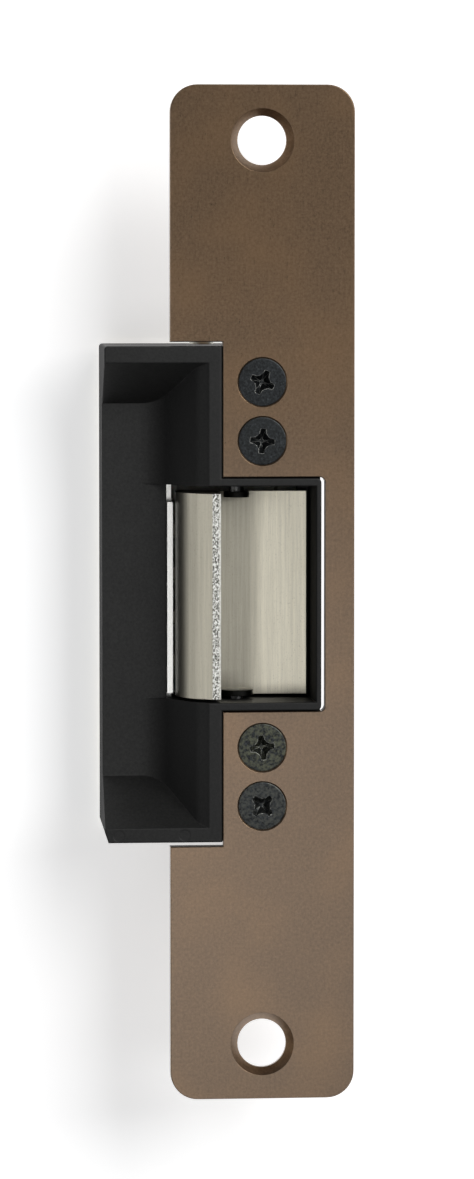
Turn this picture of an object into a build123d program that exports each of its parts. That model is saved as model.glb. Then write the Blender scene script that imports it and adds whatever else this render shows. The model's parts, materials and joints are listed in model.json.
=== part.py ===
from build123d import *
from math import atan2, cos, degrees, radians, sin, sqrt, tan
import os

# Electric door strike. Millimetres, +Z up along the faceplate, +Y into the door frame.
# The origin is the centre of the faceplate's back face, so its front face is at -plate_thickness.
# Depths named "depth" are counted from the faceplate's front face.

# ---- driving dimensions -------------------------------------------------------------------
plate_height = 174.625
plate_width = 31.75
plate_thickness = 2.4
plate_corner_radius = 4.7
plate_edge_chamfer = 0.15
plate_notch_gap = 0.7
plate_lip_gap = 0.04
plate_slot_gap = 0.18
plate_slot_side_gap = 0.64
notch_corner_radius = 1.0
box_corner_radius = 0.8

mount_hole_end_distance = 9.5125
mount_hole_radius = 4.2
mount_sink_radius = 5.47
countersink_angle = 82.0

keeper_length = 35.4
keeper_drop = 0.35
keeper_end_gap = 0.57
pocket_end_rim = 1.38
pocket_side_rim = 0.89
body_depth = 25.0
body_left = -27.15
lip_draft = 0.55
lip_right = -6.82
pocket_box_right = 10.19
body_wall = 1.8
body_end_wall = 2.0
partition_wall = 1.9
rim_edge_radius = 0.22
rim_side_radius = 0.55
lip_corner_chamfer = (1.8, 0.6)
lip_corner_fillet = 0.6

rim_top_width = 2.85
rim_bottom_width = 2.45
rim_side_width = 2.33
recess_depth = 11.0
recess_top_slope = 7.25
recess_bottom_slope = 8.15
recess_floor_radius = 5.4
recess_floor_wall = 2.0
ramp_angle = 58.0
ramp_crest_width = 2.05
ramp_crest_depth = 1.35
ramp_crest_radius = 3.0
channel_gap = 1.41
ejector_mark_radius = 1.0
ejector_mark_depth = 0.06
ejector_mark_insets = (2.4, 13.8)

pivot_x = -3.71
pivot_depth = 9.5
lip_radius = 10.64
lip_inner_x = -7.15
lip_land_width = 1.35
lip_corner_radius = 1.1
floor_leg_depth = 11.0
floor_leg_thickness = 2.2
floor_leg_gap = 0.7
floor_leg_dip = 0.32
floor_leg_rise = 0.25
floor_leg_bevel = 0.8
heel_run = 2.4
heel_angle = 155.0
lower_ear_radius = 2.9
upper_ear_radius = 2.2
ear_thickness = 1.0

lug_count = 4
lug_pitch = 7.6
lug_height = 2.4
lug_center = -0.8
lug_leg_step = 0.1
lug_thickness = 2.6
lug_root = 1.0
lug_tip_gap = 0.23
lug_clearance = 0.3
lug_roof_gap = 0.25

pin_radius = 1.25
running_gap = 0.05
pin_chamfer = 0.2
hinge_pin_upper_length = 7.0
hinge_pin_lower_length = 12.4
clip_flange = 1.45
clip_thickness = 0.6
clip_end_gap = 0.5
clip_groove_depth = 0.3

bar_thickness = 0.98
bar_wall_gap = 0.08
bar_slot_gap = 0.2
bar_front_depth = 9.9
bar_end_gap = 0.92
bar_travel = 2.2
bar_tongue_width = 4.6
tab_height = 2.2
tab_partition_gap = 0.78
tab_frame_gap = 0.5
tab_reach = 2.2
guide_width = 2.3
guide_bar_gap = 0.15
guide_end_gap = 0.3
guide_rib_half = 2.4
guide_web = 0.8
guide_front_web = 1.45
guide_back_web = 1.2

solenoid_x = -4.5
frame_sheet = 1.5
frame_bend_radius = 1.2
frame_bobbin_gap = 0.25
frame_margin = 0.5
frame_cover_gap = 0.49
plunger_radius = 2.6
plunger_slide_gap = 0.1
plunger_frame_gap = 0.15
plunger_stop_gap = 0.2
plunger_partition_gap = 0.38
plunger_slot_gap = 0.05
plunger_slot_headroom = 0.3
plunger_top_chamfer = 0.3
plunger_end_chamfer = 0.4
plunger_pin_radius = 0.8
plunger_pin_overhang = 0.4
plunger_pin_chamfer = 0.15
pole_length = 3.0
pole_stem_radius = 1.82
bobbin_wall = 0.6
winding_build = 2.2
flange_lip = 0.5
flange_thickness = 0.8
wrap_thickness = 0.25
terminal_offset = 2.2
terminal_radius = 0.35
terminal_length = 2.6
terminal_seat = 1.2

screw_slot_margin = 6.4
screw_pitch = 10.1
screw_end_margin = 6.2
screw_head_radius = 4.14
screw_shank_radius = 2.08
screw_seat = 0.2
screw_end = 3.9
screw_boss_radius = 3.3
screw_boss_floor = 0.3
recess_cross_span = 4.3
recess_cross_width = 1.1
recess_cross_depth = 1.9
recess_cross_taper = 12.0
screw_recess_turns = (45.0, -8.0, 5.0, 25.0)

cover_thickness = 1.2
cover_inset = 0.2
cover_corner_radius = 1.2
cover_panel_margin = 8.6
cover_panel_height = 0.7
cover_panel_radius = 2.5
cover_panel_taper = 35.0
cover_screw_radius = 1.15
cover_screw_length = 7.0
cover_screw_end_gap = 0.6
cover_head_radius = 2.2
cover_head_height = 1.2
cover_head_fillet = 0.5
cover_head_recess = (2.4, 0.6, 0.8)
cover_post_radius = 2.4
cover_post_inset = 5.2
cover_post_right_inset = 2.9

solenoid_screw_offset = 4.6
solenoid_screw_radius = 1.2
solenoid_head_radius = 2.1
solenoid_head_height = 1.1
solenoid_head_fillet = 0.4
solenoid_head_recess = (2.2, 0.55, 0.7)

spring_wire = 0.3
spring_seat_gap = 0.1
return_seat_gap = 0.05
keeper_turns = 4
keeper_coil_gap = 0.65
return_turns = 5
return_coil_gap = 0.35
return_spring_room = 8.28
collar_flange = 0.6
collar_height = 1.4
collar_gap = 0.08
guide_pin_radius = 1.3
guide_pin_x = -9.0
guide_pin_seat = 0.4
guide_pin_tail = 1.6
guide_pin_chamfer = 0.3
eye_wall = 1.1
stop_pad_thickness = 0.8
stop_pad_end_gap = 1.0
stop_pad_side_gap = 0.1
stop_pad_fillet = 0.2
stop_ledge_width = 1.9
stop_ledge_height = 2.2
stop_ledge_root = 0.5

grommet_side_gap = 1.65
grommet_front_gap = 2.91
grommet_neck_radius = 2.0
grommet_flange = 0.8
grommet_bore_radius = 1.1
grommet_rim_thickness = 0.8
grommet_rim_fillet = 0.4

# how far a cut runs past the face it opens, and how close a selected edge lies to its place
overcut = 1.0
reach = 0.1

# ---- places worked out from them ----------------------------------------------------------
front_y = -plate_thickness
back_y = body_depth + front_y
pivot_y = pivot_depth + front_y
floor_y = recess_depth + front_y
mount_hole_spacing = plate_height - 2 * mount_hole_end_distance
keeper_bottom = -keeper_length / 2 - keeper_drop
keeper_top = keeper_length / 2 - keeper_drop
pocket_half = keeper_length / 2 + keeper_drop + keeper_end_gap
pocket_box_half = pocket_half + pocket_end_rim
pocket_right = pocket_box_right - pocket_side_rim
partition_outer = pocket_half + partition_wall
inner_screw_z = pocket_box_half + screw_slot_margin
outer_screw_z = inner_screw_z + screw_pitch
half_height = outer_screw_z + screw_end_margin
body_height = 2 * half_height
inner_half = half_height - body_end_wall
inner_left = body_left + body_wall
rim_inner_x = lip_right - rim_side_width
rim_inner_top = half_height - rim_top_width
rim_inner_bottom = rim_bottom_width - half_height
channel_end = pivot_x - lip_radius - channel_gap
bobbin_bore = plunger_radius + plunger_slide_gap
bobbin_tube = bobbin_bore + bobbin_wall
winding_radius = bobbin_tube + winding_build
flange_radius = winding_radius + flange_lip
solenoid_half_width = flange_radius + frame_margin
solenoid_y = back_y - frame_cover_gap - solenoid_half_width
guide_depth = back_y - solenoid_y - bar_thickness / 2
bar_back_y = back_y - guide_depth
bar_left = channel_end + bar_wall_gap
bar_right = bar_left + bar_thickness
bar_front_y = bar_front_depth + front_y
bar_bottom = bar_end_gap - pocket_half
bar_top = pocket_half - bar_end_gap - bar_travel
slot_right = bar_right + bar_slot_gap
tongue_y = bar_back_y - bar_tongue_width
upper_tab_bottom = partition_outer + tab_partition_gap
upper_tab_top = upper_tab_bottom + tab_height
lower_tab_top = -partition_outer - return_spring_room
lower_tab_bottom = lower_tab_top - tab_height
solenoid_bottom = upper_tab_top + bar_travel + tab_frame_gap
solenoid_top = inner_half
frame_right = solenoid_x + flange_radius + frame_bobbin_gap
solenoid_screw_x = (solenoid_x - solenoid_screw_offset, solenoid_x + solenoid_screw_offset)
keeper_coil_radius = pin_radius + spring_wire + keeper_coil_gap
return_coil_radius = guide_pin_radius + spring_wire + return_coil_gap
upper_pin_bottom = keeper_top - ear_thickness
upper_pin_top = upper_pin_bottom + hinge_pin_upper_length
lower_pin_top = keeper_bottom + ear_thickness
lower_pin_bottom = lower_pin_top - hinge_pin_lower_length
clip_places = (upper_pin_top - clip_end_gap - clip_thickness, lower_pin_bottom + clip_end_gap)
clip_groove_radius = pin_radius - clip_groove_depth
clip_radius = pin_radius + clip_flange
collar_radius = keeper_coil_radius + collar_flange
collar_bottom = clip_places[1] + clip_thickness
collar_top = collar_bottom + collar_height
grommet_x = frame_right + frame_sheet + grommet_side_gap
grommet_y = solenoid_y - solenoid_half_width - grommet_front_gap

os.makedirs("parts", exist_ok=True)


def keep(builder, name):
    """Labels a finished piece and writes it out."""
    builder.part.label = name
    export_step(builder.part, f"parts/{name}.step")


def face_plane(y):
    """A plane that faces the viewer: sketch x is X, sketch y is Z."""
    return Plane(origin=(0, y, 0), x_dir=(1, 0, 0), z_dir=(0, -1, 0))


def section_plane(z):
    """A plane across the strike at height z: sketch x is X, sketch y is Y."""
    return Plane.XY.offset(z)


def from_corners(x0, y0, x1, y1):
    """Draws a rectangle between two corners in the current sketch."""
    with Locations(((x0 + x1) / 2, (y0 + y1) / 2)):
        Rectangle(x1 - x0, y1 - y0)


def add_block(x0, x1, y0, y1, z0, z1, mode=Mode.ADD):
    """Adds or cuts a block between two corners of the part being built."""
    with Locations(((x0 + x1) / 2, (y0 + y1) / 2, (z0 + z1) / 2)):
        Box(x1 - x0, y1 - y0, z1 - z0, mode=mode)


def add_rod(radius, x, y, z0, z1, mode=Mode.ADD):
    """Adds or cuts an upright round rod."""
    with Locations((x, y, (z0 + z1) / 2)):
        Cylinder(radius, z1 - z0, mode=mode)


def add_cross_rod(radius, x, z, y0, y1, mode=Mode.ADD):
    """Adds or cuts a round rod along Y."""
    with Locations(Location((x, (y0 + y1) / 2, z), (90, 0, 0))):
        Cylinder(radius, y1 - y0, mode=mode)


# ---- faceplate ----------------------------------------------------------------------------
screw_places = [(0, z) for z in (-outer_screw_z, -inner_screw_z, inner_screw_z, outer_screw_z)]
sink_slope = screw_head_radius - screw_shank_radius
sink_slope = sink_slope / (plate_thickness - screw_seat)
notch_half = half_height + plate_notch_gap
slot_half = pocket_box_half + plate_slot_gap
slot_side = pocket_box_right + plate_slot_side_gap
mount_sink_depth = (mount_sink_radius - mount_hole_radius) / tan(radians(countersink_angle / 2))

with BuildPart() as faceplate:
    with BuildSketch(face_plane(0)):
        RectangleRounded(plate_width, plate_height, plate_corner_radius)
    extrude(amount=plate_thickness)
    with BuildSketch(face_plane(0)):
        from_corners(-plate_width, -notch_half, lip_right + plate_lip_gap, notch_half)
    extrude(amount=plate_thickness, mode=Mode.SUBTRACT)
    with BuildSketch(face_plane(0)):
        from_corners(lip_right - overcut, -slot_half, slot_side, slot_half)
    extrude(amount=plate_thickness, mode=Mode.SUBTRACT)
    upright = faceplate.edges().filter_by(Axis.Y)
    fillet(upright.filter_by_position(Axis.X, slot_side - reach, slot_side + reach), notch_corner_radius)
    with BuildSketch(face_plane(0)):
        with GridLocations(0, mount_hole_spacing, 1, 2):
            Circle(mount_hole_radius)
        with Locations(*screw_places):
            Circle(screw_shank_radius)
    extrude(amount=plate_thickness, mode=Mode.SUBTRACT)
    for place in (mount_hole_spacing / 2, -mount_hole_spacing / 2):
        with Locations(Location((0, front_y + mount_sink_depth / 2, place), (90, 0, 0))):
            Cone(mount_hole_radius, mount_sink_radius, mount_sink_depth, mode=Mode.SUBTRACT)
    for x, z in screw_places:
        with Locations(Location((x, front_y / 2, z), (90, 0, 0))):
            Cone(
                screw_shank_radius,
                screw_head_radius + sink_slope * screw_seat,
                plate_thickness,
                mode=Mode.SUBTRACT,
            )
    front_edges = faceplate.faces().sort_by(Axis.Y)[0].outer_wire().edges()
    chamfer(front_edges, plate_edge_chamfer)
keep(faceplate, "faceplate")

# ---- strike body --------------------------------------------------------------------------
crest_x = rim_inner_x - ramp_crest_width
crest_y = front_y + ramp_crest_depth
ramp_run = (floor_y - crest_y) / tan(radians(ramp_angle))
ramp_foot_x = crest_x - ramp_run
hollow_front_y = body_wall
hollow_back_y = floor_y + recess_floor_wall
hollow_crest_x = crest_x + recess_floor_wall / sin(radians(ramp_angle))
hollow_top_x = hollow_crest_x - (hollow_front_y - crest_y) / tan(radians(ramp_angle))
hollow_foot_x = hollow_crest_x - (hollow_back_y - crest_y) / tan(radians(ramp_angle))
cover_left = body_left + lip_draft + cover_inset
post_left_x = body_left + cover_post_inset
post_right_x = pocket_box_right - cover_post_right_inset
post_z = half_height - cover_post_inset
post_places = [(x, z) for x in (post_left_x, post_right_x) for z in (-post_z, post_z)]
stop_top_depth = floor_leg_depth + floor_leg_thickness + stop_pad_thickness

with BuildPart() as strike_body:
    # outer block of the lip, and of the housing behind the faceplate
    with BuildSketch(section_plane(-half_height)):
        with BuildLine():
            Polyline(
                (body_left, front_y),
                (lip_right, front_y),
                (lip_right, back_y),
                (body_left + lip_draft, back_y),
                close=True,
            )
        make_face()
    extrude(amount=body_height)
    add_block(lip_right, pocket_box_right, 0, back_y, -half_height, half_height)
    add_block(lip_right, pocket_box_right, front_y, 0, -pocket_box_half, pocket_box_half)
    upright = strike_body.edges().filter_by(Axis.Y)
    box_corners = upright.filter_by_position(Axis.X, pocket_box_right - reach, pocket_box_right + reach)
    fillet(box_corners, box_corner_radius)
    left_reach = (body_left - reach, body_left + lip_draft + reach)
    left_corners = strike_body.edges().filter_by_position(Axis.X, *left_reach).sort_by(Axis.Z)
    fillet(left_corners[-1], lip_corner_fillet)
    chamfer(left_corners[0], length=lip_corner_chamfer[0], length2=lip_corner_chamfer[1])
    # ramp recess: a trough with a ramp on one side, cut off by two sloped end walls
    with BuildSketch(section_plane(-half_height)) as trough:
        with BuildLine():
            FilletPolyline(
                (body_left - overcut, floor_y),
                (ramp_foot_x, floor_y),
                (crest_x, crest_y),
                (rim_inner_x, front_y),
                radius=(recess_floor_radius, ramp_crest_radius),
            )
            Polyline(
                (rim_inner_x, front_y),
                (rim_inner_x, front_y - overcut),
                (body_left - overcut, front_y - overcut),
                (body_left - overcut, floor_y),
            )
        make_face()
    trough_solid = extrude(amount=body_height, mode=Mode.PRIVATE)
    with BuildSketch(Plane.YZ.offset(body_left - overcut), mode=Mode.PRIVATE) as end_walls:
        with BuildLine():
            Polyline(
                (front_y, rim_inner_top),
                (floor_y, rim_inner_top - recess_top_slope),
                (floor_y + overcut, rim_inner_top - recess_top_slope),
                (floor_y + overcut, rim_inner_bottom + recess_bottom_slope),
                (floor_y, rim_inner_bottom + recess_bottom_slope),
                (front_y, rim_inner_bottom),
                (front_y - overcut, rim_inner_bottom),
                (front_y - overcut, rim_inner_top),
                close=True,
            )
        make_face()
    trough_width = rim_inner_x - body_left + 2 * overcut
    end_wall_solid = extrude(end_walls.sketch, amount=trough_width, mode=Mode.PRIVATE)
    add(trough_solid & end_wall_solid, mode=Mode.SUBTRACT)
    # channel between the recess and the latch pocket
    channel_front = front_y - overcut
    add_block(
        body_left - overcut, rim_inner_x, channel_front, floor_y, -pocket_half, pocket_half, Mode.SUBTRACT
    )
    # latch pocket, open from front to back
    pocket_back = back_y + overcut
    add_block(
        channel_end, pocket_right, channel_front, pocket_back, -pocket_half, pocket_half, Mode.SUBTRACT
    )
    # upper and lower compartments, open at the back
    for bottom, top in ((partition_outer, inner_half), (-inner_half, -partition_outer)):
        with BuildSketch(section_plane(bottom)):
            with BuildLine():
                Polyline(
                    (hollow_foot_x, hollow_back_y),
                    (inner_left, hollow_back_y),
                    (inner_left, pocket_back),
                    (pocket_box_right - body_wall, pocket_back),
                    (pocket_box_right - body_wall, hollow_front_y),
                    (hollow_top_x, hollow_front_y),
                    close=True,
                )
            make_face()
        extrude(amount=top - bottom, mode=Mode.SUBTRACT)
    # hollow behind the middle of the recess
    add_block(
        inner_left,
        channel_end - partition_wall,
        hollow_back_y,
        pocket_back,
        -pocket_half,
        pocket_half,
        Mode.SUBTRACT,
    )
    # bosses for the faceplate screws and posts for the cover screws
    for x, z in screw_places:
        add_cross_rod(screw_boss_radius, x, z, 0, screw_end + screw_boss_floor)
    for x, z in post_places:
        add_cross_rod(cover_post_radius, x, z, floor_y, back_y)
    for x, z in post_places:
        add_cross_rod(cover_screw_radius, x, z, back_y - cover_screw_length, back_y, Mode.SUBTRACT)
    for x, z in screw_places:
        add_cross_rod(screw_shank_radius, x, z, 0, screw_end, Mode.SUBTRACT)
    # room for the spring collar beside the lower screw boss
    collar_room = (collar_bottom - collar_gap, collar_top + collar_gap)
    add_rod(collar_radius + collar_gap, pivot_x, pivot_y, *collar_room, Mode.SUBTRACT)
    # ledge that stops the keeper's floor leg
    add_block(
        pocket_right - stop_ledge_width,
        pocket_box_right - stop_ledge_root,
        stop_top_depth + front_y,
        stop_top_depth + front_y + stop_ledge_height,
        -pocket_half,
        pocket_half,
    )
    # bores for the hinge pins
    for bottom, top in ((pocket_half, partition_outer), (-partition_outer, -pocket_half)):
        add_rod(pin_radius + running_gap, pivot_x, pivot_y, bottom, top, Mode.SUBTRACT)
        # slot for the locking bar's tongue
        add_block(
            channel_end,
            slot_right,
            tongue_y - bar_slot_gap,
            pocket_back,
            bottom - reach,
            top + reach,
            Mode.SUBTRACT,
        )
    # seat of the spring guide pin
    seat_top = -pocket_half - guide_pin_seat
    add_rod(guide_pin_radius, guide_pin_x, solenoid_y, -partition_outer, seat_top, Mode.SUBTRACT)
    # solenoid screws and lead outlet in the top wall
    for x in solenoid_screw_x:
        add_rod(solenoid_screw_radius, x, solenoid_y, inner_half, half_height, Mode.SUBTRACT)
    add_rod(grommet_neck_radius, grommet_x, grommet_y, inner_half, half_height, Mode.SUBTRACT)
    # softened front rims, and the round marks left by the ejector pins
    front_rims = strike_body.faces().sort_by(Axis.Y)[0].edges()
    side_reach = (lip_right - reach, lip_right + reach)
    fillet(front_rims.filter_by(Axis.Z).filter_by_position(Axis.X, *side_reach), rim_side_radius)
    fillet(strike_body.faces().sort_by(Axis.Y)[0].edges(), rim_edge_radius)
    for inset in ejector_mark_insets:
        mark_z = rim_bottom_width / 2 - half_height
        mark_end = front_y + ejector_mark_depth
        add_cross_rod(
            ejector_mark_radius, body_left + inset, mark_z, front_y - overcut, mark_end, Mode.SUBTRACT
        )
keep(strike_body, "strike_body")

# ---- keeper -------------------------------------------------------------------------------
leg_y = floor_leg_depth + front_y
leg_under_y = leg_y + floor_leg_thickness
floor_leg_end = pocket_right - floor_leg_gap
leg_end_y = leg_y - floor_leg_rise
lug_top_y = leg_y + lug_leg_step
lug_bottom_y = lug_top_y + lug_thickness
lug_tip_x = bar_left + lug_tip_gap
heel_x = pivot_x + lip_radius * cos(radians(heel_angle))
heel_y = pivot_y + lip_radius * sin(radians(heel_angle))
land_x = lip_inner_x - lip_land_width
land_y = pivot_y - sqrt(lip_radius**2 - (land_x - pivot_x) ** 2)
land_angle = degrees(atan2(pivot_y - land_y, pivot_x - land_x))

with BuildPart() as keeper:
    with BuildSketch(section_plane(keeper_bottom)):
        with BuildLine():
            CenterArc(
                (pivot_x, pivot_y),
                lip_radius,
                heel_angle,
                180 - heel_angle + land_angle,
            )
            Line((land_x, land_y), (lip_inner_x, land_y))
            Line((lip_inner_x, land_y), (lip_inner_x, leg_y))
            ThreePointArc(
                (lip_inner_x, leg_y),
                ((lip_inner_x + floor_leg_end) / 2, leg_y + floor_leg_dip),
                (floor_leg_end, leg_end_y),
            )
            Polyline(
                (floor_leg_end, leg_end_y),
                (floor_leg_end, leg_under_y - floor_leg_bevel),
                (floor_leg_end - floor_leg_bevel, leg_under_y),
                (heel_x + heel_run, leg_under_y),
                (heel_x, heel_y),
            )
        make_face()
    extrude(amount=keeper_length)
    upright_edges = keeper.edges().filter_by(Axis.Z)
    inner_corner = upright_edges.filter_by_position(Axis.X, lip_inner_x - reach, lip_inner_x + reach)
    fillet(inner_corner.sort_by(Axis.Y)[-1], lip_corner_radius)
    ears = ((keeper_bottom, lower_ear_radius), (keeper_top - ear_thickness, upper_ear_radius))
    for bottom, radius in ears:
        add_rod(radius, pivot_x, pivot_y, bottom, bottom + ear_thickness)
        add_rod(pin_radius, pivot_x, pivot_y, bottom, bottom + ear_thickness, Mode.SUBTRACT)
    lug_places = [lug_center + (index - (lug_count - 1) / 2) * lug_pitch for index in range(lug_count)]
    for z in lug_places:
        bottom = z - lug_height / 2
        add_block(lug_tip_x, heel_x + lug_root, lug_top_y, lug_bottom_y, bottom, bottom + lug_height)
keep(keeper, "keeper")

# ---- hinge pins, clips, springs -----------------------------------------------------------
with BuildPart() as hinge_pin_upper:
    add_rod(pin_radius, pivot_x, pivot_y, upper_pin_bottom, upper_pin_top)
    chamfer(hinge_pin_upper.edges().sort_by(Axis.Z)[-1], pin_chamfer)
    with BuildSketch(section_plane(clip_places[0])):
        with Locations((pivot_x, pivot_y)):
            Circle(pin_radius)
            Circle(clip_groove_radius, mode=Mode.SUBTRACT)
    extrude(amount=clip_thickness, mode=Mode.SUBTRACT)
keep(hinge_pin_upper, "hinge_pin_upper")

with BuildPart() as hinge_pin_lower:
    add_rod(pin_radius, pivot_x, pivot_y, lower_pin_bottom, lower_pin_top)
    chamfer(hinge_pin_lower.edges().sort_by(Axis.Z)[0], pin_chamfer)
    with BuildSketch(section_plane(clip_places[1])):
        with Locations((pivot_x, pivot_y)):
            Circle(pin_radius)
            Circle(clip_groove_radius, mode=Mode.SUBTRACT)
    extrude(amount=clip_thickness, mode=Mode.SUBTRACT)
keep(hinge_pin_lower, "hinge_pin_lower")

with BuildPart() as hinge_clips:
    for bottom in clip_places:
        with BuildSketch(section_plane(bottom)):
            with Locations((pivot_x, pivot_y)):
                Circle(clip_radius)
                Circle(clip_groove_radius, mode=Mode.SUBTRACT)
            with Locations((pivot_x + clip_radius / 2, pivot_y)):
                Rectangle(clip_radius + overcut, clip_groove_radius, mode=Mode.SUBTRACT)
        extrude(amount=clip_thickness)
keep(hinge_clips, "hinge_clips")

with BuildPart() as spring_collar:
    add_rod(collar_radius, pivot_x, pivot_y, collar_bottom, collar_top)
    add_rod(pin_radius, pivot_x, pivot_y, collar_bottom, collar_top, Mode.SUBTRACT)
keep(spring_collar, "spring_collar")

coil_room = -partition_outer - collar_top
keeper_coil_height = coil_room - 2 * spring_wire - 2 * spring_seat_gap
with BuildPart() as keeper_spring:
    with BuildLine() as keeper_coil:
        Helix(
            keeper_coil_height / keeper_turns,
            keeper_coil_height,
            keeper_coil_radius,
            center=(pivot_x, pivot_y, collar_top + spring_wire + spring_seat_gap),
        )
    with BuildSketch(Plane(origin=keeper_coil.line @ 0, z_dir=keeper_coil.line % 0)):
        Circle(spring_wire)
    sweep(path=keeper_coil.line, is_frenet=True)
keep(keeper_spring, "keeper_spring")

with BuildPart() as keeper_stop_pad:
    add_block(
        pocket_right - stop_ledge_width,
        pocket_right - stop_pad_side_gap,
        leg_under_y,
        leg_under_y + stop_pad_thickness,
        keeper_bottom + stop_pad_end_gap,
        keeper_top - stop_pad_end_gap,
    )
    fillet(keeper_stop_pad.edges().filter_by(Axis.Z).sort_by(Axis.Y)[0:1], stop_pad_fillet)
keep(keeper_stop_pad, "keeper_stop_pad")

# ---- locking bar --------------------------------------------------------------------------
tab_front_y = bar_back_y - bar_thickness
window_top_y = lug_top_y - lug_roof_gap
window_bottom_y = lug_bottom_y + lug_clearance
slot_half_height = lug_height / 2 + lug_clearance
pin_z = upper_tab_bottom + tab_height / 2

with BuildPart() as locking_bar:
    add_block(bar_left, bar_right, bar_front_y, bar_back_y, bar_bottom, bar_top)
    add_block(bar_left, bar_right, tongue_y, bar_back_y, bar_top, upper_tab_top)
    add_block(bar_left, bar_right, tongue_y, bar_back_y, lower_tab_bottom, bar_bottom)
    upper_tab_end = solenoid_x + tab_reach
    add_block(bar_right, upper_tab_end, tab_front_y, bar_back_y, upper_tab_bottom, upper_tab_top)
    add_block(bar_right, guide_pin_x, tab_front_y, bar_back_y, lower_tab_bottom, lower_tab_top)
    for z in lug_places:
        add_block(
            bar_left,
            bar_right,
            window_top_y,
            window_bottom_y,
            z - slot_half_height - bar_travel,
            z + slot_half_height,
            Mode.SUBTRACT,
        )
        add_block(
            bar_left,
            bar_right,
            window_bottom_y,
            bar_back_y,
            z - slot_half_height,
            z + slot_half_height,
            Mode.SUBTRACT,
        )
    add_cross_rod(plunger_pin_radius, solenoid_x, pin_z, tab_front_y, bar_back_y, Mode.SUBTRACT)
    guide_bore = guide_pin_radius + running_gap
    add_rod(guide_bore + eye_wall, guide_pin_x, solenoid_y, lower_tab_bottom, lower_tab_top)
    add_rod(guide_bore, guide_pin_x, solenoid_y, lower_tab_bottom, lower_tab_top, Mode.SUBTRACT)
keep(locking_bar, "locking_bar")

with BuildPart() as bar_guide:
    guide_right = bar_left + guide_width
    guide_half = pocket_half - guide_end_gap
    guide_front_y = bar_back_y + guide_bar_gap
    add_block(bar_left, guide_right, guide_front_y, back_y, -guide_half, guide_half)
    for z in lug_places[:-1]:
        middle = z + lug_pitch / 2
        add_block(
            bar_left + guide_web,
            guide_right,
            guide_front_y + guide_front_web,
            back_y - guide_back_web,
            middle - guide_rib_half,
            middle + guide_rib_half,
            Mode.SUBTRACT,
        )
keep(bar_guide, "bar_guide")

guide_pin_bottom = lower_tab_bottom - guide_pin_tail
guide_pin_top = -pocket_half - guide_pin_seat
with BuildPart() as spring_guide_pin:
    add_rod(guide_pin_radius, guide_pin_x, solenoid_y, guide_pin_bottom, guide_pin_top)
    chamfer(spring_guide_pin.edges().sort_by(Axis.Z)[0], guide_pin_chamfer)
keep(spring_guide_pin, "spring_guide_pin")

return_height = return_spring_room - 2 * spring_wire - 2 * return_seat_gap
with BuildPart() as bar_return_spring:
    with BuildLine() as return_coil:
        Helix(
            return_height / return_turns,
            return_height,
            return_coil_radius,
            center=(guide_pin_x, solenoid_y, lower_tab_top + spring_wire + return_seat_gap),
        )
    with BuildSketch(Plane(origin=return_coil.line @ 0, z_dir=return_coil.line % 0)):
        Circle(spring_wire)
    sweep(path=return_coil.line, is_frenet=True)
keep(bar_return_spring, "bar_return_spring")

# ---- solenoid -----------------------------------------------------------------------------
frame_top_inner = solenoid_top - frame_sheet
frame_bottom_inner = solenoid_bottom + frame_sheet
frame_hole_radius = plunger_radius + plunger_frame_gap
pole_bottom = frame_top_inner - pole_length
plunger_top = pole_bottom - bar_travel - plunger_stop_gap
plunger_bottom = partition_outer + plunger_partition_gap

with BuildPart() as solenoid_frame:
    for bottom in (solenoid_bottom, frame_top_inner):
        add_block(
            solenoid_x - solenoid_half_width,
            frame_right + frame_sheet,
            solenoid_y - solenoid_half_width,
            solenoid_y + solenoid_half_width,
            bottom,
            bottom + frame_sheet,
        )
    add_block(
        frame_right,
        frame_right + frame_sheet,
        solenoid_y - solenoid_half_width,
        solenoid_y + solenoid_half_width,
        solenoid_bottom,
        solenoid_top,
    )
    bends = solenoid_frame.edges().filter_by(Axis.Y).sort_by(Axis.X)[-2:]
    fillet(bends, frame_bend_radius)
    add_rod(frame_hole_radius, solenoid_x, solenoid_y, solenoid_bottom, frame_bottom_inner, Mode.SUBTRACT)
    add_rod(pole_stem_radius, solenoid_x, solenoid_y, frame_top_inner, solenoid_top, Mode.SUBTRACT)
    for x in solenoid_screw_x:
        add_rod(solenoid_screw_radius, x, solenoid_y, frame_top_inner, solenoid_top, Mode.SUBTRACT)
keep(solenoid_frame, "solenoid_frame")

terminal_places = (solenoid_x - terminal_offset, solenoid_x + terminal_offset)
terminal_z = frame_top_inner - flange_thickness / 2
terminal_front_y = solenoid_y - flange_radius - terminal_length
terminal_back_y = solenoid_y - flange_radius + terminal_seat
winding_low = frame_bottom_inner + flange_thickness
winding_high = frame_top_inner - flange_thickness
with BuildPart() as bobbin:
    add_rod(bobbin_tube, solenoid_x, solenoid_y, frame_bottom_inner, frame_top_inner)
    for bottom in (frame_bottom_inner, winding_high):
        add_rod(flange_radius, solenoid_x, solenoid_y, bottom, bottom + flange_thickness)
    add_rod(bobbin_bore, solenoid_x, solenoid_y, frame_bottom_inner, frame_top_inner, Mode.SUBTRACT)
    for x in terminal_places:
        add_cross_rod(terminal_radius, x, terminal_z, terminal_front_y, terminal_back_y, Mode.SUBTRACT)
keep(bobbin, "bobbin")

with BuildPart() as coil_winding:
    add_rod(winding_radius, solenoid_x, solenoid_y, winding_low, winding_high)
    add_rod(bobbin_tube, solenoid_x, solenoid_y, winding_low, winding_high, Mode.SUBTRACT)
keep(coil_winding, "coil_winding")

with BuildPart() as coil_wrap:
    add_rod(winding_radius + wrap_thickness, solenoid_x, solenoid_y, winding_low, winding_high)
    add_rod(winding_radius, solenoid_x, solenoid_y, winding_low, winding_high, Mode.SUBTRACT)
keep(coil_wrap, "coil_wrap")

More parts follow.
